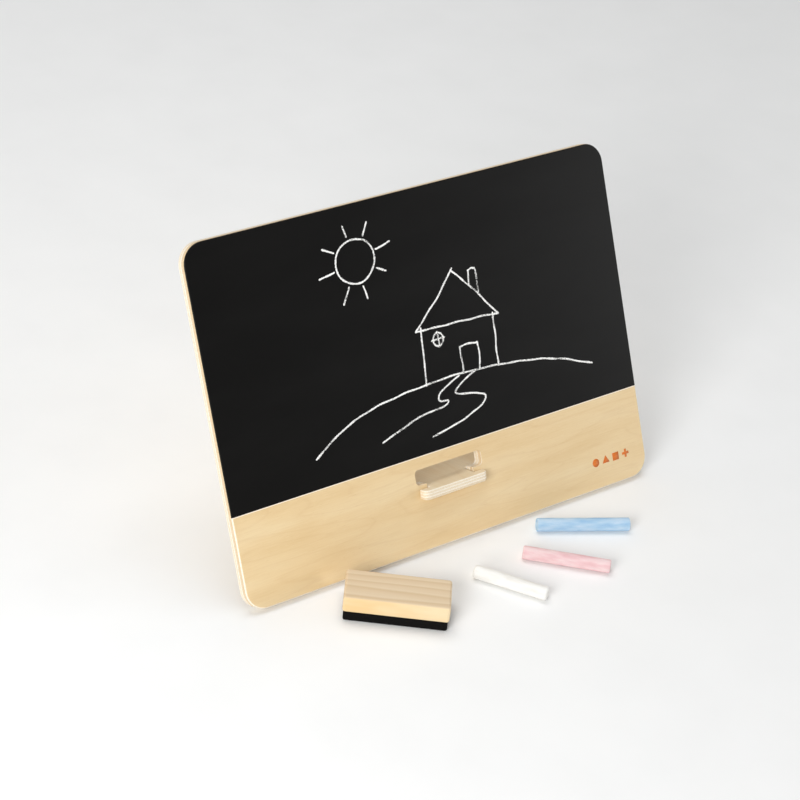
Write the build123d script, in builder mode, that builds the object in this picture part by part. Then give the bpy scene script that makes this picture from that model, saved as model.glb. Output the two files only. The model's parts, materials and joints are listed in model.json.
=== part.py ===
"""A child's tabletop blackboard easel: a plywood board that leans back on a broad plywood foot.

The foot ends in a narrow neck and a small head. The head is passed through the wide slot in the board
from behind and dropped, so that the neck sits in the notch under the slot and the head hooks over the
front. A felt eraser and three sticks of chalk lie on the table before it.
Lengths are millimetres. +X is to the right, +Y to the back and +Z up. The origin is on the table, under
the middle of everything.
"""
import os
from math import cos, radians, sin

from build123d import *

# board
board_width = 350
board_height = 250
board_thickness = 9
board_corner = 15          # corner radius seen from the front
board_edge = 1.5           # rounding along the rim
front_ply = 0.9            # pale veneer band, and the bed of the writing panel
panel_sink = 0.3           # the writing panel lies this much below the band
back_ply = 0.7
band_height = 67           # natural wood below, black writing surface above
lean = 26.5                # degrees that the board leans back from upright

# slot with the notch under it
slot_width = 57.5
slot_low = 47              # heights are measured along the board from its lower edge
slot_high = 58
slot_corner = 3
notch_width = 40.4
notch_low = 37.3
notch_corner = 2

# foot plate
foot_thickness = 7
foot_tilt = 7.5            # degrees between the plate and the board's normal
foot_seat = 37.6           # height of the plate's underside where it passes the board's face
head_width = 54.7
head_length = 6.7
head_corner = 4.5
neck_width = 39
shoulder = 10.35           # from the board's face to the shoulders behind the board
gap = 0.3                  # from the head to the board's face
body_width = 175
body_end = 120             # from the board's face to the rear edge, along the plate
body_corner = 15
plate_edge = 1.0           # rounding along the plate's rim

# eraser
eraser_length = 72
eraser_depth = 32
block_height = 12.5
block_edge = 2
felt_height = 7.5
felt_inset = 0.8
felt_corner = 1.5
eraser_place = (-84, -40)  # before the board: to the right of its middle, and back from its lower edge
eraser_turn = -38          # degrees

# chalk
chalk_radius = 4.9
chalk_edge = 0.9
chalks = {                 # length, middle to the right and back, and the way it points in degrees
    "chalk_white": (54, 1, -57, -56),
    "chalk_pink": (62, 52, -55, -43),
    "chalk_blue": (68, 88, -29, -27),
}

# The board stands on the rounded lower edge of its back.
lift = board_edge + (board_thickness - board_edge) * sin(radians(lean)) - board_edge * cos(radians(lean))
foot_slope = lean - foot_tilt
rear_reach = (foot_seat * sin(radians(lean)) + body_end * cos(radians(foot_slope))
              + foot_thickness * sin(radians(foot_slope)))
front_reach = max(
    chalk_radius * cos(radians(turn)) - length / 2 * sin(radians(turn)) - y
    for length, x, y, turn in chalks.values()
)
front_edge = (front_reach - rear_reach) / 2      # Y of the board's lower front edge

# face: x to the right, y up along the board, z out of its front
face = Plane(
    origin=(0, front_edge, lift),
    x_dir=(1, 0, 0),
    z_dir=(0, -cos(radians(lean)), sin(radians(lean))),
)
# bed: the foot's underside, x to the right, y along the plate to the back, z up through it
bed = Plane(
    origin=face.from_local_coords((0, foot_seat, 0)),
    x_dir=(1, 0, 0),
    z_dir=(0, sin(radians(foot_slope)), cos(radians(foot_slope))),
)
made = []


def finish(part, name):
    """Label a finished piece and keep it for writing."""
    part.label = name
    made.append(part)


def whole_board():
    """The board as one block: rounded corners, rounded rim, and the slot and its notch cut through."""
    with BuildPart() as block:
        with BuildSketch(face):
            with Locations((0, board_height / 2)):
                RectangleRounded(board_width, board_height, board_corner)
        extrude(amount=-board_thickness)
        faces = block.faces().filter_by(face).sort_by(Axis(face.origin, face.z_dir))
        fillet(faces[0].edges() + faces[-1].edges(), board_edge)
        with BuildSketch(face):
            with Locations((0, (slot_low + slot_high) / 2)):
                RectangleRounded(slot_width, slot_high - slot_low, slot_corner)
        extrude(amount=-board_thickness, mode=Mode.SUBTRACT)
        with BuildSketch(face) as notch:
            with Locations((0, notch_low)):
                Rectangle(notch_width, slot_high - slot_corner - notch_low, align=(Align.CENTER, Align.MIN))
            fillet(notch.vertices().group_by(Axis.Y)[0], notch_corner)
        extrude(amount=-board_thickness, mode=Mode.SUBTRACT)
    return block.part


# Plywood core: the inner plies, which carry the load and stand on the table.
with BuildPart() as board_core:
    add(whole_board())
    split(bisect_by=face.offset(-front_ply), keep=Keep.BOTTOM)
    split(bisect_by=face.offset(back_ply - board_thickness), keep=Keep.TOP)
finish(board_core.part, "board_core")

# Rear face ply.
with BuildPart() as back_veneer:
    add(whole_board())
    split(bisect_by=face.offset(back_ply - board_thickness), keep=Keep.BOTTOM)
finish(back_veneer.part, "back_veneer")

# Natural wood band along the bottom, with the slot.
band_top = Plane(origin=face.from_local_coords((0, band_height, 0)), x_dir=(1, 0, 0), z_dir=face.y_dir)
with BuildPart() as front_band:
    add(whole_board())
    split(bisect_by=face.offset(-front_ply), keep=Keep.TOP)
    split(bisect_by=band_top, keep=Keep.BOTTOM)
finish(front_band.part, "front_band")

# Black writing panel above the band, a little lower than the band's face.
with BuildPart() as chalk_panel:
    add(whole_board())
    split(bisect_by=face.offset(-front_ply), keep=Keep.TOP)
    split(bisect_by=face.offset(-panel_sink), keep=Keep.BOTTOM)
    split(bisect_by=band_top, keep=Keep.TOP)
finish(chalk_panel.part, "chalk_panel")

# Foot: one plywood plate with a broad body behind the board, a neck in the notch and a head in front.
with BuildPart() as foot_plate:
    with BuildSketch(bed):
        with Locations((0, shoulder)):
            Rectangle(body_width, body_end - shoulder, align=(Align.CENTER, Align.MIN))
        with Locations((0, -gap)):
            Rectangle(neck_width, shoulder + gap, align=(Align.CENTER, Align.MIN))
            Rectangle(head_width, head_length, align=(Align.CENTER, Align.MAX))
    extrude(amount=foot_thickness)
    upright = foot_plate.edges().filter_by(Axis(bed.origin, bed.z_dir))
    ranks = upright.group_by(Axis(bed.origin, bed.y_dir))
    fillet(ranks[0], head_corner)
    shoulders = ranks[-2].sort_by(Axis.X)
    fillet(ranks[-1] + shoulders[:1] + shoulders[-1:], body_corner)
    plates = foot_plate.faces().filter_by(bed).sort_by(Axis(bed.origin, bed.z_dir))
    fillet(plates[0].edges() + plates[-1].edges(), plate_edge)
    # the rear edge is planed flat where it stands on the table
    split(bisect_by=Plane.XY, keep=Keep.TOP)
finish(foot_plate.part, "foot_plate")

# Eraser: a softwood block with a felt pad glued under it.
rest = Plane(
    origin=(eraser_place[0], front_edge + eraser_place[1], 0),
    x_dir=(cos(radians(eraser_turn)), sin(radians(eraser_turn)), 0),
    z_dir=(0, 0, 1),
)
with BuildPart() as eraser_block:
    with BuildSketch(rest.offset(felt_height)):
        Rectangle(eraser_length, eraser_depth)
    extrude(amount=block_height)
    fillet(eraser_block.edges(), block_edge)
finish(eraser_block.part, "eraser_block")

with BuildPart() as eraser_felt:
    with BuildSketch(rest):
        RectangleRounded(eraser_length - 2 * felt_inset, eraser_depth - 2 * felt_inset, felt_corner)
    extrude(amount=felt_height)
finish(eraser_felt.part, "eraser_felt")

# Chalk: moulded round sticks with softened ends.
for name, (length, x, y, turn) in chalks.items():
    across = Plane(
        origin=(x, front_edge + y, chalk_radius),
        x_dir=(0, 0, 1),
        z_dir=(cos(radians(turn)), sin(radians(turn)), 0),
    )
    with BuildPart() as chalk:
        with BuildSketch(across):
            Circle(chalk_radius)
        extrude(amount=length / 2, both=True)
        fillet(chalk.edges().filter_by(GeomType.CIRCLE), chalk_edge)
    finish(chalk.part, name)

os.makedirs("parts", exist_ok=True)
for part in made:
    export_step(part, f"parts/{part.label}.step")
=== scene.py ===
"""A child's tabletop blackboard easel with its eraser and chalk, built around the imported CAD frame.

Everything is in metres in the frame's own axes: +X to the right, +Y to the back, +Z up, the table at Z 0.
"""
import json
from math import cos, pi, radians, sin

import bpy
import numpy as np
from mathutils import Matrix, Vector


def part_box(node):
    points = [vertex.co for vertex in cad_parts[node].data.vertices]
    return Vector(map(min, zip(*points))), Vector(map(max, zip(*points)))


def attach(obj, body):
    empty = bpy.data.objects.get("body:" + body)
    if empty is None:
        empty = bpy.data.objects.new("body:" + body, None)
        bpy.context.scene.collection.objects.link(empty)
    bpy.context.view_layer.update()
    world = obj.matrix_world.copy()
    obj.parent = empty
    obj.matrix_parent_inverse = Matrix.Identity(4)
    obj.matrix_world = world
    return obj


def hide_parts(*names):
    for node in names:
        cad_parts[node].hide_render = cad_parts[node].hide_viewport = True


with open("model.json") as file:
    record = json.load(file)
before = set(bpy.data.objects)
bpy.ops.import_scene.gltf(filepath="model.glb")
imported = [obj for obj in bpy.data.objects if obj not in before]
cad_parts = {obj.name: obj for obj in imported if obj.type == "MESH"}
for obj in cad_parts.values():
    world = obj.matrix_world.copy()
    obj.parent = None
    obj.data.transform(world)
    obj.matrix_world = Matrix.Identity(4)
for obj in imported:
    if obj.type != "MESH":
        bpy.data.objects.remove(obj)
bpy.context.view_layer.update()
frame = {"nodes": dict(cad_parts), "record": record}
nodes = frame["nodes"]
mm = 0.001

# ---- Board --------------------------------------------------------------------------------------
# One sheet of birch plywood, 350 x 250 x 9 mm, five inner plies between two thin face veneers, routed
# round with softened corners and sealed with a clear satin varnish. The cut edge shows its plies.

writing_face = next(m for m in frame["record"]["mounts"] if m["name"] == "writing_face")
panel_height = 160 * mm          # of the writing face's mount above the board's lower edge
panel_sink = 0.3 * mm            # the black panel lies this much below the wood
right = Vector((1, 0, 0))
out = Vector(writing_face["axis"]).normalized()
up = out.cross(right)
board_edge = Vector(writing_face["pos_m"]) - panel_height * up + panel_sink * out
board_turn = Matrix((right, up, out)).transposed()


def on_board(x, y, z):
    """Points of the frame for x to the right, y up the board and z out of its front, as arrays."""
    axes = np.array((right, up, out))
    return np.array(board_edge) + np.stack(np.broadcast_arrays(x, y, z), -1) @ axes


def paint(code):
    """The linear colour of an sRGB hex value."""
    shares = [int(code[i:i + 2], 16) / 255 for i in (1, 3, 5)]
    return (*[s / 12.92 if s <= 0.04045 else ((s + 0.055) / 1.055) ** 2.4 for s in shares], 1.0)


def add(tree, kind, sockets, stops=(), sharp=False, **settings):
    """Adds one node and returns its outputs.

    sockets gives its inputs, as values or as other nodes' outputs. settings are its own properties.
    stops are a ramp's places with their sRGB hex colours, and sharp makes the ramp step between them.
    A Mix node of colours takes its share at 0 and its colours at 6 and 7, and gives its result at 2.
    """
    made = tree.nodes.new(kind)
    for name, value in settings.items():
        setattr(made, name, value)
    for name, value in sockets.items():
        if isinstance(value, bpy.types.NodeSocket):
            tree.links.new(value, made.inputs[name])
        else:
            made.inputs[name].default_value = value
    if sharp:
        made.color_ramp.interpolation = "CONSTANT"
    for rank, (place, code) in enumerate(stops):
        points = made.color_ramp.elements
        point = points[rank] if rank < 2 else points.new(place)
        point.position, point.color = place, paint(code)
    return made.outputs


def start(name, place, turn):
    """A new material, its tree, and a piece's own coordinates in millimetres: place is their origin."""
    material = bpy.data.materials.new(name)
    material.use_nodes = True
    tree = material.node_tree
    tree.nodes.clear()
    whole = add(tree, "ShaderNodeTexCoord", {})["Object"]
    own = add(tree, "ShaderNodeMapping", {
        "Vector": whole, "Location": place, "Rotation": turn.to_euler("XYZ"), "Scale": (mm, mm, mm),
    }, vector_type="TEXTURE")[0]
    return material, tree, own


def patch(tree, own, size, detail=3.0, w=0.0):
    """Noise from 0 to 1 whose blotches measure size, in millimetres along the piece's own axes."""
    scaled = add(tree, "ShaderNodeVectorMath", {0: own, 1: [1 / s for s in size]}, operation="MULTIPLY")[0]
    return add(tree, "ShaderNodeTexNoise", {
        "Vector": scaled, "W": w, "Scale": 1.0, "Detail": detail,
    }, noise_dimensions="4D")[0]


def surface(material, tree, relief, depth, **sockets):
    """Ends a material: one principled shader, with relief raised by depth in millimetres."""
    bump = add(tree, "ShaderNodeBump", {"Height": relief, "Distance": depth * mm, "Strength": 1.0})[0]
    named = {name.replace("_", " "): value for name, value in sockets.items()}
    shader = add(tree, "ShaderNodeBsdfPrincipled", {"Normal": bump, **named})[0]
    add(tree, "ShaderNodeOutputMaterial", {"Surface": shader})
    return material


def plywood(name, place, turn, layers, tones, grain_seed, highlight_above=None):
    """Varnished birch plywood. layers are plies as (millimetres, colour), counted down from z 0, and tones
    are the colours of the faces, from the deepest silk to the palest. grain_seed picks the figure.

    The two faces take the figure: contour lines of a long noise give the cathedral figure, a short one
    the fibres. Below their skin the plies are stripes over z, with a tan glue line between. Above the
    height given last, the face is painted pale: a painted highlight where light catches the band's top edge.
    """
    material, tree, own = start(name, place, turn)
    # birch: growth rings cut flat, 4 to 20 mm apart and most often 8, silky streaks of some 90 by
    # 14 mm, and fibres drawn 0.9 mm wide, which is coarser than the real ones, so that they show
    rings = patch(tree, own, (230, 30, 300), detail=1.5, w=grain_seed)
    crowded = add(tree, "ShaderNodeMath", {0: rings, 1: 12.0}, operation="MULTIPLY")[0]
    lines = add(tree, "ShaderNodeMath", {0: crowded, 1: 0.5}, operation="PINGPONG")[0]
    fibres = patch(tree, own, (22, 0.9, 6), detail=4.0, w=grain_seed)
    streaks = patch(tree, own, (90, 14, 60), detail=3.5, w=grain_seed + 5)
    pores = patch(tree, own, (4.5, 0.6, 2), detail=2.0, w=grain_seed + 9)
    silk = add(tree, "ShaderNodeValToRGB", {0: streaks}, stops=list(zip((0.3, 0.5, 0.7), tones)))[0]
    late = add(tree, "ShaderNodeValToRGB", {0: lines}, stops=[
        (0.0, "#6c6c6c"), (0.09, "#282828"), (0.4, "#000000")])[0]
    figured = add(tree, "ShaderNodeMix", {0: late, 6: silk, 7: paint("#d3aa76")}, data_type="RGBA")[2]
    drawn = add(tree, "ShaderNodeValToRGB", {0: fibres}, stops=[(0.42, "#000000"), (0.7, "#808080")])[0]
    combed = add(tree, "ShaderNodeMix", {0: drawn, 6: figured, 7: paint("#dab783")}, data_type="RGBA")[2]
    flecks = add(tree, "ShaderNodeValToRGB", {0: pores}, stops=[(0.62, "#000000"), (0.72, "#808080")])[0]
    speckled = add(tree, "ShaderNodeMix", {0: flecks, 6: combed, 7: paint("#c59d69")}, data_type="RGBA")[2]
    shine = add(tree, "ShaderNodeValToRGB", {0: pores}, stops=[(0.28, "#808080"), (0.38, "#000000")])[0]
    veneer = add(tree, "ShaderNodeMix", {0: shine, 6: speckled, 7: paint("#f8e8c8")}, data_type="RGBA")[2]
    places = add(tree, "ShaderNodeSeparateXYZ", {0: own})
    # painted highlight: above this height the face is painted pale, standing in for light catching the band's
    # top edge
    if highlight_above:
        painted_highlight = add(tree, "ShaderNodeMapRange", {
            "Value": places["Y"], "From Min": highlight_above, "From Max": highlight_above + 0.2})[0]
        veneer = add(tree, "ShaderNodeMix", {0: painted_highlight, 6: veneer, 7: paint("#fff0dc")}, data_type="RGBA")[2]

    # the cut edge: long-grained plies are pale and cross-grained ones darker, all of them finely
    # speckled by the cut ends of their fibres
    thickness = sum(ply for ply, colour in layers)
    glue_line, face_skin = 0.08, 0.12        # millimetres
    depth = add(tree, "ShaderNodeMath", {0: places["Z"], 1: -1 / thickness}, operation="MULTIPLY")[0]
    glue, skin = glue_line / thickness, face_skin / thickness
    stops, reached = [(0.0, layers[0][1])], layers[0][0] / thickness
    for ply, colour in layers[1:]:
        stops += [(reached, "#dac097"), (reached + glue, colour)]
        reached += ply / thickness
    stripes = add(tree, "ShaderNodeValToRGB", {0: depth}, stops=stops, sharp=True)[0]
    ends = patch(tree, own, (0.9, 0.9, 0.5), detail=3.0, w=2.0)
    speckle = add(tree, "ShaderNodeValToRGB", {0: ends}, stops=[(0.4, "#ffffff"), (0.75, "#e9ddc8")])[0]
    edge = add(tree, "ShaderNodeMix", {0: 0.8, 6: stripes, 7: speckle}, data_type="RGBA",
               blend_type="MULTIPLY")[2]
    inside = add(tree, "ShaderNodeValToRGB", {0: depth}, sharp=True, stops=[
        (0.0, "#000000"), (skin, "#ffffff"), (1 - skin, "#000000")])[0]
    wood = add(tree, "ShaderNodeMix", {0: inside, 6: veneer, 7: edge}, data_type="RGBA")[2]

    relief = add(tree, "ShaderNodeMath", {0: pores, 1: -0.7, 2: fibres}, operation="MULTIPLY_ADD")[0]
    gloss = add(tree, "ShaderNodeMapRange", {"Value": fibres, "To Min": 0.42, "To Max": 0.56})[0]
    return surface(material, tree, relief, 0.04, Base_Color=wood, Roughness=gloss, Coat_Weight=0.1,
                   Coat_Roughness=0.35)


def finish_node(name, material):
    """Gives a CAD node its material."""
    mesh = nodes[name].data
    mesh.materials.clear()
    mesh.materials.append(material)


inner_ply = 7.4 / 5               # millimetres
cross_grain, long_grain = "#e6cda6", "#fff7e8"
board_layers = [(0.9, "#fdf5e6"), (inner_ply, cross_grain), (inner_ply, "#ecd6b3"), (inner_ply, long_grain),
                (inner_ply, "#f8ebd4"), (inner_ply, long_grain), (0.7, long_grain)]
highlight_line = 66.3                # millimetres up the board: above it the band is painted pale, a painted highlight along its top edge
board_tones = ("#e5c693", "#ebcf9f", "#efd7ab")
board_plywood = plywood("birch_plywood_routed_and_varnished", board_edge, board_turn, board_layers,
                        board_tones, 3.0)
finish_node("board_core", board_plywood)
finish_node("back_veneer", board_plywood)
finish_node("front_band", plywood("birch_plywood_varnished_painted_highlight", board_edge, board_turn, board_layers,
                                  board_tones, 3.0, highlight_line))

# ---- Writing panel ------------------------------------------------------------------------------
# The upper part of the front is coated with blackboard paint, rolled on and left matt. The roller
# leaves a fine stipple, and wiping leaves a faint grey haze of chalk along the strokes of the eraser.

board_black = "#0b0a09"


def blackboard(name):
    """Rolled blackboard paint: stipple 1.2 mm apart, haze in strokes of about 90 by 25 mm."""
    material, tree, own = start(name, board_edge, board_turn)
    stipple = patch(tree, own, (1.2, 1.2, 1.2), detail=2.0)
    haze = patch(tree, own, (90, 25, 60), detail=4.0, w=4.0)
    wiped = add(tree, "ShaderNodeValToRGB", {0: haze}, stops=[(0.42, "#000000"), (0.8, "#262626")])[0]
    dusty = add(tree, "ShaderNodeMix", {0: wiped, 6: paint(board_black), 7: paint("#4a4845")},
                data_type="RGBA")[2]
    dull = add(tree, "ShaderNodeMapRange", {"Value": haze, "To Min": 0.3, "To Max": 0.4})[0]
    return surface(material, tree, stipple, 0.02, Base_Color=dusty, Roughness=dull,
                   Specular_IOR_Level=0.16)


finish_node("chalk_panel", blackboard("blackboard_paint_rolled"))

# ---- Chalk drawing ------------------------------------------------------------------------------
# A sun over a house on a hill, drawn by hand with the white stick. Each line is a low ridge of dust,
# 1.2 mm wide, that has stayed on the high spots of the paint, so that the black shows through it.

line_width = 1.2 * mm
dust_height = 0.07 * mm
line_step = 0.45 * mm


def ripple(along, pitch, seed):
    """A smooth random line from about -1 to 1: the mean of five sines of lengths around pitch."""
    rng = np.random.default_rng(seed)
    turns, phases = rng.uniform(0.6, 1.7, 5), rng.uniform(0, 2 * pi, 5)
    return 1.6 * np.sin(2 * pi * along[..., None] * turns / pitch + phases).mean(-1)


def through(points, step):
    """A smooth line through points, sampled about every step, and how far along each sample is.

    Between two points it is a Catmull-Rom cubic, whose tangent at a point is half the way from the
    point before to the point after.
    """
    given = np.array(points, float)
    held = np.concatenate([given[:1] * 2 - given[1:2], given, given[-1:] * 2 - given[-2:-1]])
    a, b, c, d = (held[i:len(held) - 3 + i, None] for i in range(4))
    t = np.linspace(0, 1, 24, endpoint=False)[:, None]
    curve = 0.5 * (2 * b + (c - a) * t + (2 * a - 5 * b + 4 * c - d) * t**2
                   + (3 * b - a - 3 * c + d) * t**3)
    line = np.concatenate([curve.reshape(-1, given.shape[1]), given[-1:]])
    gone = np.concatenate([[0], np.cumsum(np.linalg.norm(np.diff(line, axis=0), axis=1))])
    at = np.linspace(0, gone[-1], max(8, int(gone[-1] / step)))
    return np.stack([np.interp(at, gone, column) for column in line.T], -1), at


def shell(rings):
    """A closed surface over rings of points: its points, its four-sided walls and its two caps' triangles.

    rings[i, j] is point j of ring i. Faces are turned outwards by the sign of the volume they hold.
    """
    count, around = rings.shape[:2]
    points = np.concatenate([rings.reshape(-1, 3), rings[:1].mean(1), rings[-1:].mean(1)])
    i, j = np.meshgrid(np.arange(count - 1), np.arange(around), indexing="ij")
    after = (j + 1) % around
    walls = np.stack([i * around + j, i * around + after, (i + 1) * around + after,
                      (i + 1) * around + j], -1).reshape(-1, 4)
    near, beside = np.arange(around), (np.arange(around) + 1) % around
    first, last = count * around, (count - 1) * around
    caps = np.concatenate([
        np.stack([np.full(around, first), beside, near], -1),
        np.stack([np.full(around, first + 1), last + near, last + beside], -1),
    ])
    centred = points - points.mean(0)
    corners = np.concatenate([walls[:, :3], walls[:, [0, 2, 3]], caps])
    a, b, c = (centred[corners[:, k]] for k in range(3))
    if np.einsum("ij,ij->", a, np.cross(b, c)) < 0:
        walls, caps = walls[:, ::-1], caps[:, ::-1]
    return points, walls, caps


def piece(name, shells, material, body):
    """One smooth-shaded mesh from closed shells, riding on its body."""
    points, faces, used = [], [], 0
    for shell_points, walls, caps in shells:
        points.append(shell_points)
        faces += (walls + used).tolist() + (caps + used).tolist()
        used += len(shell_points)
    mesh = bpy.data.meshes.new(name)
    mesh.from_pydata(np.concatenate(points).tolist(), [], faces)
    mesh.shade_smooth()
    mesh.materials.append(material)
    made = bpy.data.objects.new(name, mesh)
    bpy.context.scene.collection.objects.link(made)
    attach(made, body)
    return made


def chalk_line(points, seed):
    """One stroke: a ridge along a smooth line through points, in millimetres on the board.

    Its section is a flat ellipse, whose width follows the hand's pressure by a ripple of 11 mm and the
    paint's grain by one of 2.2 mm. Its ends are round, and a ripple of 30 mm shakes it sideways.
    """
    line, at = through(np.array(points) * mm, line_step)
    ahead = np.gradient(line, axis=0)
    ahead /= np.linalg.norm(ahead, axis=1)[:, None]
    aside = np.stack([-ahead[:, 1], ahead[:, 0]], -1)
    line = line + aside * (0.35 * mm * ripple(at, 30 * mm, seed))[:, None]
    ends = np.minimum(at, at[-1] - at) / line_width
    half = line_width / 2 * np.sqrt(np.clip(1 - (1 - np.clip(ends * 2, 0, 1))**2, 0.02, 1))
    angle = np.linspace(0, 2 * pi, 12, endpoint=False)
    pressed = 1 + 0.2 * ripple(at, 11 * mm, seed + 90)[:, None]
    grain = [ripple(at, 2.2 * mm, seed + 50 + k) for k in range(len(angle))]
    ragged = pressed + 0.4 * np.stack(grain, -1)
    across = half[:, None] * ragged * np.cos(angle)
    height = dust_height * np.where(np.sin(angle) > 0, np.sin(angle), 0.3 * np.sin(angle))
    flat = line[:, None] + across[..., None] * aside[:, None]
    return shell(on_board(flat[..., 0], flat[..., 1], height[None, :] - panel_sink))


def chalk_arc(centre, radius, from_angle, to_angle, seed):
    """A stroke round part of a circle that the hand draws a little out of true."""
    angles = np.radians(np.linspace(from_angle, to_angle, 14))
    reach = radius * (1 + 0.035 * np.sin(2 * angles + seed))
    return chalk_line(np.stack([centre[0] + reach * np.cos(angles), centre[1] + reach * np.sin(angles)], -1),
                      seed)


def ring_of_rays(centre, near, far, count):
    """Straight strokes that stand round a circle, each up to 5 degrees and a tenth of far out of true."""
    for k in range(count):
        angle = radians(360 * k / count + 14 + 5 * sin(3 * k))
        reach = far * (1 + 0.09 * sin(5 * k + 1))
        yield chalk_line([(centre[0] + r * cos(angle), centre[1] + r * sin(angle)) for r in (near, reach)],
                         200 + k)


def chalk_dust(name):
    """Chalk held on the grain of the paint, which is about 0.5 mm: noise above a level is chalk.

    The hand presses less over stretches of some 20 mm, and there more of the black shows.
    """
    material, tree, own = start(name, board_edge, board_turn)
    grain = patch(tree, own, (0.55, 0.55, 0.55), detail=3.0, w=1.0)
    pressure = patch(tree, own, (20, 20, 20), detail=2.0, w=7.0)
    weighed = add(tree, "ShaderNodeMath", {0: pressure, 1: 0.7, 2: grain}, operation="MULTIPLY_ADD")[0]
    held = add(tree, "ShaderNodeValToRGB", {0: weighed}, stops=[(0.69, "#303030"), (0.8, "#ffffff")])[0]
    colour = add(tree, "ShaderNodeMix", {0: held, 6: paint(board_black), 7: paint("#fffefb")},
                 data_type="RGBA")[2]
    return surface(material, tree, grain, 0.06, Base_Color=colour, Roughness=0.92)


# places on the board in millimetres, and a seed of its own for every stroke
sun, sun_radius = (-47, 211), 15.4
hill = [(-104, 87), (-82, 100), (-55, 109), (-25, 113), (15, 115), (55, 113), (92, 108), (118, 101),
        (139, 93)]
strokes = [
    chalk_arc(sun, sun_radius, 70, 436, 1),
    *ring_of_rays(sun, 17.5, 29, 8),
    chalk_line(hill, 2),
    # walls, eaves and roof
    chalk_line([(-4, 155), (-5, 134), (-7, 113)], 3),
    chalk_line([(58, 151), (57, 132), (56, 112)], 4),
    chalk_line([(-9, 152), (27, 151), (63, 149)], 5),
    chalk_line([(-9, 152), (12, 170), (30, 189)], 6),
    chalk_line([(28, 188), (46, 169), (63, 148)], 7),
    # chimney
    chalk_line([(42, 173), (42, 179), (43, 185)], 8),
    chalk_line([(42, 184), (46, 185), (49, 184)], 9),
    chalk_line([(49, 184), (49, 175), (49, 166)], 10),
    # round window with its bars
    chalk_arc((9, 143), 4.6, 80, 445, 11),
    chalk_line([(3, 143), (9, 143), (15, 143)], 12),
    chalk_line([(9, 149), (9, 143), (9, 137)], 13),
    # door
    chalk_line([(25, 114), (26, 124), (26, 134)], 14),
    chalk_line([(25, 133), (33, 134), (42, 133)], 15),
    chalk_line([(41, 134), (41, 124), (40, 114)], 16),
    # the two sides of the path
    chalk_line([(22, 114), (5, 107), (2, 101), (9, 99), (4, 96), (-20, 93), (-50, 84)], 17),
    chalk_line([(36, 114), (20, 107), (17, 102), (34, 98), (41, 94), (33, 87), (12, 81), (-9, 77)], 18),
]
drawing = piece("chalk_drawing", strokes, chalk_dust("white_chalk_on_paint"), "board")

# ---- Printed mark -------------------------------------------------------------------------------
# Four small toy shapes in orange ink, pad-printed at the lower right of the band: a round, a triangle,
# a square and a cross. The ink film is a few hundredths of a millimetre thick.

mark_place = (128, 20)           # middle of the first shape, in millimetres on the board
mark_pitch = 9.4
mark_size = 6.2
ink_height = 0.04 * mm
ink_depth = 0.02 * mm            # the film reaches this far into the varnish


def inked(outline):
    """A printed film over an outline in millimetres on the board: two rings, joined and capped."""
    outline = np.array(outline) * mm
    levels = np.array([-ink_depth, ink_height])
    return shell(on_board(outline[None, :, 0], outline[None, :, 1], levels[:, None]))


def regular(count, turn, centre, radius):
    """Corners of a regular figure."""
    return [(centre[0] + radius * cos(turn + 2 * pi * k / count),
             centre[1] + radius * sin(turn + 2 * pi * k / count)) for k in range(count)]


def orange_ink(name):
    """Pad-printed ink: even and satin, a little thin where the wood's fibres stand up."""
    material, tree, own = start(name, board_edge, board_turn)
    fibres = patch(tree, own, (12, 0.6, 6), detail=3.0)
    colour = add(tree, "ShaderNodeValToRGB", {0: fibres}, stops=[(0.35, "#dc6a14"), (0.8, "#e1893c")])[0]
    return surface(material, tree, fibres, 0.03, Base_Color=colour, Roughness=0.5)


middles = [(mark_place[0] + k * mark_pitch, mark_place[1]) for k in range(4)]
reach = mark_size / 2            # of the cross's arms from its middle
arm = 0.3 * reach                # half of an arm's width
cross = [(x * a + middles[3][0], y * b + middles[3][1]) for x, y, a, b in (
    (arm, arm, 1, 1), (arm, reach, 1, 1), (arm, reach, -1, 1), (arm, arm, -1, 1),
    (reach, arm, -1, 1), (reach, arm, -1, -1), (arm, arm, -1, -1), (arm, reach, -1, -1),
    (arm, reach, 1, -1), (arm, arm, 1, -1), (reach, arm, 1, -1), (reach, arm, 1, 1))]
piece("printed_shapes", [
    inked(regular(32, 0, middles[0], 0.5 * mark_size)),
    inked(regular(3, pi / 2, (middles[1][0], middles[1][1] - 0.4), 0.62 * mark_size)),
    inked(regular(4, pi / 4, middles[2], 0.66 * mark_size)),
    inked(cross),
], orange_ink("orange_ink_pad_printed"), "board")

# ---- Foot ---------------------------------------------------------------------------------------
# One plate of a paler birch plywood, 7 mm thick, its grain running from front to back for a strong
# neck. Its small head stands out of the front, over the notch, and its rear edge is planed to the table.

foot_seat = 37.6 * mm            # height along the board of the plate's underside
foot_slope = radians(19)         # the plate falls this much to the back
foot_thickness = 7.0             # millimetres
foot_turn = Matrix.Rotation(-foot_slope, 3, "X")
foot_top = board_edge + foot_seat * up + foot_turn.col[2] * foot_thickness * mm
grain_turn = foot_turn @ Matrix.Rotation(pi / 2, 3, "Z")
thin_ply = 5.4 / 5                # millimetres
foot_layers = [(0.8, long_grain), *[(thin_ply, "#f5e7cd"), (thin_ply, long_grain)] * 2, (thin_ply, "#f0dfc2"),
               (0.8, long_grain)]
foot_tones = ("#ead2a9", "#f0dcb8", "#f5e6c9")
finish_node("foot_plate", plywood("birch_plywood_sawn_and_varnished", foot_top, grain_turn, foot_layers,
                                  foot_tones, 8.0))

# ---- Eraser block -------------------------------------------------------------------------------
# A block of planed pine, 72 x 32 x 12.5 mm, with eased edges and no varnish. It is cut along the grain,
# so its growth rings run as streaks down its length and as arcs across its ends.

eraser_turn = radians(-38)
block_low, block_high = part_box("eraser_block")
eraser_middle = (block_low + block_high) / 2


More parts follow.
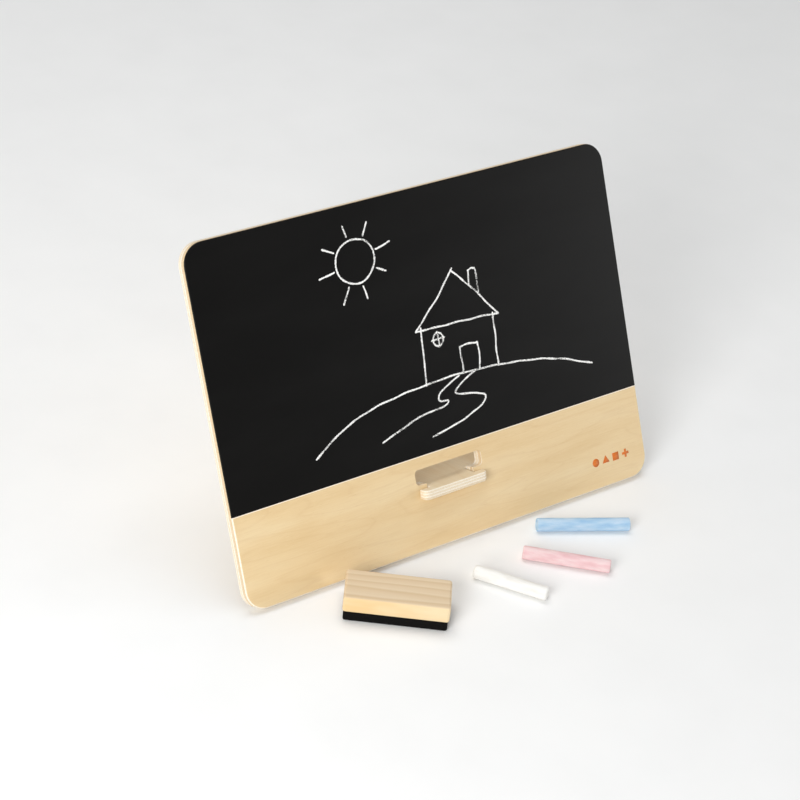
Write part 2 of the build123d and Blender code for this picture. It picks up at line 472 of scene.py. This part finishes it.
def pine(name):
    """Planed pine: rings 4.5 mm apart round a pith 42 mm away, each fading into a darker late band.

    The outer millimetre of its front side is painted paler and warmer, in blotches of some 60 mm: painted
    light on that side.
    """
    material, tree, own = start(name, eraser_middle, Matrix.Rotation(eraser_turn, 3, "Z"))
    bent = patch(tree, own, (130, 14, 14), detail=2.0)
    pith = add(tree, "ShaderNodeVectorMath", {0: own, 1: (0, 30, 30)}, operation="ADD")[0]
    radial = add(tree, "ShaderNodeVectorMath", {0: pith, 1: (0, 1, 1)}, operation="MULTIPLY")[0]
    distance = add(tree, "ShaderNodeVectorMath", {0: radial}, operation="LENGTH")[1]
    wandering = add(tree, "ShaderNodeMath", {0: bent, 1: 6.0, 2: distance}, operation="MULTIPLY_ADD")[0]
    counted = add(tree, "ShaderNodeMath", {0: wandering, 1: 4.5}, operation="DIVIDE")[0]
    rings = add(tree, "ShaderNodeMath", {0: counted}, operation="FRACT")[0]
    fibres = patch(tree, own, (30, 0.7, 0.7), detail=4.0)
    # painted light: the front side's outer millimetre is painted paler and warmer in these blotches, for the
    # light falling on that side
    lit_side_blotches = patch(tree, own, (60, 16, 16), w=3.0)
    wood = add(tree, "ShaderNodeValToRGB", {0: rings}, stops=[
        (0.0, "#e5d0b1"), (0.5, "#e0c8a6"), (0.82, "#d9bf99"), (1.0, "#e5d0b1")])[0]
    depth = add(tree, "ShaderNodeSeparateXYZ", {0: own})["Y"]
    lit_side_mask = add(tree, "ShaderNodeMapRange", {"Value": depth, "From Min": -14.6, "From Max": -15.6})[0]
    painted_light = add(tree, "ShaderNodeValToRGB", {0: lit_side_blotches}, stops=[(0.38, "#f3dcb2"), (0.66, "#efca90")])[0]
    with_painted_light = add(tree, "ShaderNodeMix", {0: lit_side_mask, 6: wood, 7: painted_light}, data_type="RGBA")[2]
    drawn = add(tree, "ShaderNodeValToRGB", {0: fibres}, stops=[(0.4, "#000000"), (0.75, "#606060")])[0]
    combed = add(tree, "ShaderNodeMix", {0: drawn, 6: with_painted_light, 7: paint("#d3b184")}, data_type="RGBA")[2]
    return surface(material, tree, fibres, 0.04, Base_Color=combed, Roughness=0.62)


finish_node("eraser_block", pine("pine_planed"))

# ---- Eraser felt --------------------------------------------------------------------------------
# A pad of pressed black wool felt, 7.5 mm thick, glued under the block. It was cut with a knife, so its
# sides are upright but hairy, and its lower rim is rounded by wear.

felt_low, felt_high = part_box("eraser_felt")
felt_middle = (felt_low + felt_high) / 2
felt_size = np.array((70.4, 30.4)) * mm
felt_corner = 1.8 * mm
felt_height = felt_high.z - felt_low.z
nap = 0.22 * mm


def rounded_outline(size, corner, count):
    """Points evenly spaced round a rectangle with round corners, and the way out at each.

    Each corner is a quarter circle. The sides between them are filled in by distance.
    """
    half = size / 2 - corner
    quarter = np.linspace(0, pi / 2, 8)
    angles = np.concatenate([quarter + k * pi / 2 for k in range(4)])
    signs = np.repeat([(1, 1), (-1, 1), (-1, -1), (1, -1)], len(quarter), axis=0)
    bow = np.stack([np.cos(angles), np.sin(angles)], -1)
    loop = signs * half + corner * bow
    closed, ways = np.concatenate([loop, loop[:1]]), np.concatenate([bow, bow[:1]])
    gone = np.concatenate([[0], np.cumsum(np.linalg.norm(np.diff(closed, axis=0), axis=1))])
    at = np.linspace(0, gone[-1], count, endpoint=False)
    sides = np.stack([np.interp(at, gone, closed[:, k]) for k in (0, 1)], -1)
    outward = np.stack([np.interp(at, gone, ways[:, k]) for k in (0, 1)], -1)
    return sides, outward / np.linalg.norm(outward, axis=1)[:, None]


def felt_rings():
    """The felt as rings from its worn lower rim up: in by a quarter circle, then upright and hairy."""
    sides, outward = rounded_outline(felt_size, felt_corner, 400)
    rim = 1.1 * mm
    bend = np.linspace(0, pi / 2, 7)
    heights = np.concatenate([rim * (1 - np.cos(bend)), np.linspace(rim, felt_height, 15)[1:]])
    inset = np.concatenate([rim * (1 - np.sin(bend)), np.zeros(len(heights) - len(bend))])
    rng = np.random.default_rng(21)
    hair = nap * (rng.random((len(heights), len(sides))) - 0.75)
    hair[[0, -1]] = -nap
    shift = (hair - inset[:, None])[..., None] * outward
    flat = sides[None] + shift
    turn = np.array(((cos(eraser_turn), sin(eraser_turn)), (-sin(eraser_turn), cos(eraser_turn))))
    flat = flat @ turn + np.array(felt_middle)[:2]
    return np.concatenate([flat, np.broadcast_to(heights[:, None, None], (*flat.shape[:2], 1))], -1)


def wool_felt(name):
    """Pressed wool: matt black with a soft sheen, fibres 0.5 mm apart that run every way."""
    material, tree, own = start(name, felt_middle, Matrix.Rotation(eraser_turn, 3, "Z"))
    fibres = patch(tree, own, (0.5, 0.5, 0.5), detail=5.0)
    colour = add(tree, "ShaderNodeValToRGB", {0: fibres}, stops=[(0.35, "#060505"), (0.75, "#151312")])[0]
    return surface(material, tree, fibres, 0.3, Base_Color=colour, Roughness=1.0, Specular_IOR_Level=0.15,
                   Sheen_Weight=0.03, Sheen_Roughness=0.5)


felt = piece("felt_pad", [shell(felt_rings())], wool_felt("wool_felt_pressed"), "eraser")
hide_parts("eraser_felt")

# ---- Chalk --------------------------------------------------------------------------------------
# Round sticks of blackboard chalk, cast in a mould and worn to different lengths. Their skin is powdery
# and a little uneven, and each stick has its own ends.


def chalk_stick(body, node, name, length, turn, rim, dish, seed, material):
    """A cast stick lying on the table.

    Along its length the radius follows a quarter circle of size rim at each end. The end faces are
    dished by dish. Ripples along and around the stick make it uneven by a few hundredths of a
    millimetre.
    """
    low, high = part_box(node)
    middle, radius = (low + high) / 2, (high.z - low.z) / 2
    bend = np.linspace(0, pi / 2, 9)
    from_end = rim * (1 - np.sin(bend))
    drawn_in = rim * (1 - np.cos(bend))
    face = np.linspace(0.04, 1, 8, endpoint=False) * (radius - rim)
    half = length / 2
    shaft = np.linspace(half - rim, -half + rim, 70)[1:-1]
    tip = half - dish * (1 - (face / (radius - rim))**2)
    along = np.concatenate([tip, half - from_end[::-1], shaft, from_end - half, -tip[::-1]])
    reach = np.concatenate([face, radius - drawn_in[::-1], np.full(len(shaft), radius),
                            radius - drawn_in, face[::-1]])
    angles = np.linspace(0, 2 * pi, 64, endpoint=False)
    lumps = ripple(along[:, None] + 9 * mm * np.cos(angles), 16 * mm, seed)
    pits = ripple(along[:, None] + 4 * mm * np.sin(angles), 3 * mm, seed + 1)
    girth = reach[:, None] * (1 - 0.012 - 0.01 * lumps - 0.004 * pits)
    ahead = np.array((cos(turn), sin(turn), 0))
    aside = np.array((-sin(turn), cos(turn), 0))
    rings = (np.array(middle) + along[:, None, None] * ahead
             + (girth * np.cos(angles))[..., None] * aside
             + (girth * np.sin(angles))[..., None] * np.array((0, 0, 1)))
    made = piece(name, [shell(rings)], material, body)
    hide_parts(node)
    return made


def moulded_chalk(name, node, turn, body_colour, pale, deep_and_pit_shade):
    """Cast chalk: powder lies in pale streaks along a deeper body colour, and the 0.6 mm pits are darkened
    towards that deep colour as painted shade in their hollows.
    """
    low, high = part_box(node)
    material, tree, own = start(name, (low + high) / 2, Matrix.Rotation(turn, 3, "Z"))
    streaks = patch(tree, own, (14, 3, 3), detail=4.0, w=6.0)
    pits = patch(tree, own, (0.8, 0.6, 0.6), detail=3.0)
    powder = add(tree, "ShaderNodeValToRGB", {0: streaks}, stops=[
        (0.32, deep_and_pit_shade), (0.48, body_colour), (0.66, pale)])[0]
    # painted shade: the hollows of the bump's pits are darkened towards the deep colour
    pit_shade = add(tree, "ShaderNodeValToRGB", {0: pits}, stops=[(0.3, "#383838"), (0.46, "#000000")])[0]
    colour = add(tree, "ShaderNodeMix", {0: pit_shade, 6: powder, 7: paint(deep_and_pit_shade)}, data_type="RGBA")[2]
    return surface(material, tree, pits, 0.05, Base_Color=colour, Roughness=0.9)


# length in millimetres and turn in degrees, the round of the rim and the dish of the end in
# millimetres, then the colours: body, pale streaks, and the deep colour of the streaks, which also paints
# shade into the pits
sticks = {
    "white": (54, -56, 2.0, 0.1, ("#f3f1ec", "#f8f7f3", "#ebe8e1")),
    "pink": (62, -43, 1.0, 0.5, ("#eec8ca", "#f3d9d9", "#e6b8bb")),
    "blue": (68, -27, 0.6, 0.2, ("#adcfe9", "#c4dbef", "#99c0e3")),
}
for seed, (colour, (length, turn, rim, dish, tones)) in enumerate(sticks.items()):
    node = "chalk_" + colour
    material = moulded_chalk(colour + "_chalk_cast", node, radians(turn), *tones)
    stick = chalk_stick(colour + "_stick", node, "stick_of_" + colour + "_chalk", length * mm,
                        radians(turn), rim * mm, dish * mm, 30 + seed, material)

# ---- Studio -------------------------------------------------------------------------------------
# A plain pale floor, a soft key light on the left, a low soft fill on the right whose reflection lifts
# the right side of the black panel, a wide light above and behind, and a pale sky.


def floor_paint(name):
    """Matt off-white paint with a barely seen unevenness of some 60 mm."""
    material, tree, own = start(name, (0, 0, 0), Matrix.Identity(3))
    cloud = patch(tree, own, (60, 60, 60))
    colour = add(tree, "ShaderNodeValToRGB", {0: cloud}, stops=[(0.3, "#f8f8f7"), (0.7, "#fbfbfa")])[0]
    return surface(material, tree, cloud, 0.0, Base_Color=colour, Roughness=0.8)


floor_half = 6                   # metres from its middle to its sides
floor_corners = [(floor_half * x, floor_half * y, 0) for x, y in ((-1, -1), (1, -1), (1, 1), (-1, 1))]
floor_mesh = bpy.data.meshes.new("floor")
floor_mesh.from_pydata(floor_corners, [], [(0, 1, 2, 3)])
floor_mesh.materials.append(floor_paint("studio_floor_paint"))
floor = bpy.data.objects.new("floor", floor_mesh)
bpy.context.scene.collection.objects.link(floor)


def softbox(name, place, aim, size, watts):
    """A square area light at place that faces aim."""
    lamp = bpy.data.lights.new(name, "AREA")
    lamp.size, lamp.energy = size, watts
    held = bpy.data.objects.new(name, lamp)
    held.location = place
    held.rotation_euler = (Vector(aim) - Vector(place)).to_track_quat("-Z", "Y").to_euler()
    bpy.context.scene.collection.objects.link(held)


aim = (0, 0, 0.1)
softbox("key", (-1.35, -0.75, 0.78), aim, 0.7, 18.5)
softbox("fill", (1.95, -1.25, 0.4), aim, 0.7, 11)
softbox("top", (0.0, 0.6, 2.2), aim, 1.8, 25)
sky = bpy.data.worlds.new("studio_sky")
sky.use_nodes = True
sky.node_tree.nodes["Background"].inputs[0].default_value = paint("#f4f6f8")
sky.node_tree.nodes["Background"].inputs[1].default_value = 0.3
bpy.context.scene.world = sky
bpy.context.scene.view_settings.view_transform = "Standard"

# ---- Camera -------------------------------------------------------------------------------------
# A long lens from the left and above, rolled a little anticlockwise, which turns the picture clockwise.

azimuth, elevation, roll = radians(-39.2), radians(34.0), radians(7.13)
camera_from_edge = Vector((-0.837, -0.940, 0.959))      # metres, from the board's lower front edge
lens = bpy.data.cameras.new("camera")
lens.sensor_width = 36
lens.lens = 100.9
lens.clip_start = 0.05
camera = bpy.data.objects.new("camera", lens)
back = Vector((sin(azimuth) * cos(elevation), -cos(azimuth) * cos(elevation), sin(elevation)))
level = back.to_track_quat("Z", "Y").to_matrix()
turned = level @ Matrix.Rotation(roll, 3, "Z")
camera.matrix_world = Matrix.Translation(board_edge + camera_from_edge) @ turned.to_4x4()
bpy.context.scene.collection.objects.link(camera)
bpy.context.scene.camera = camera
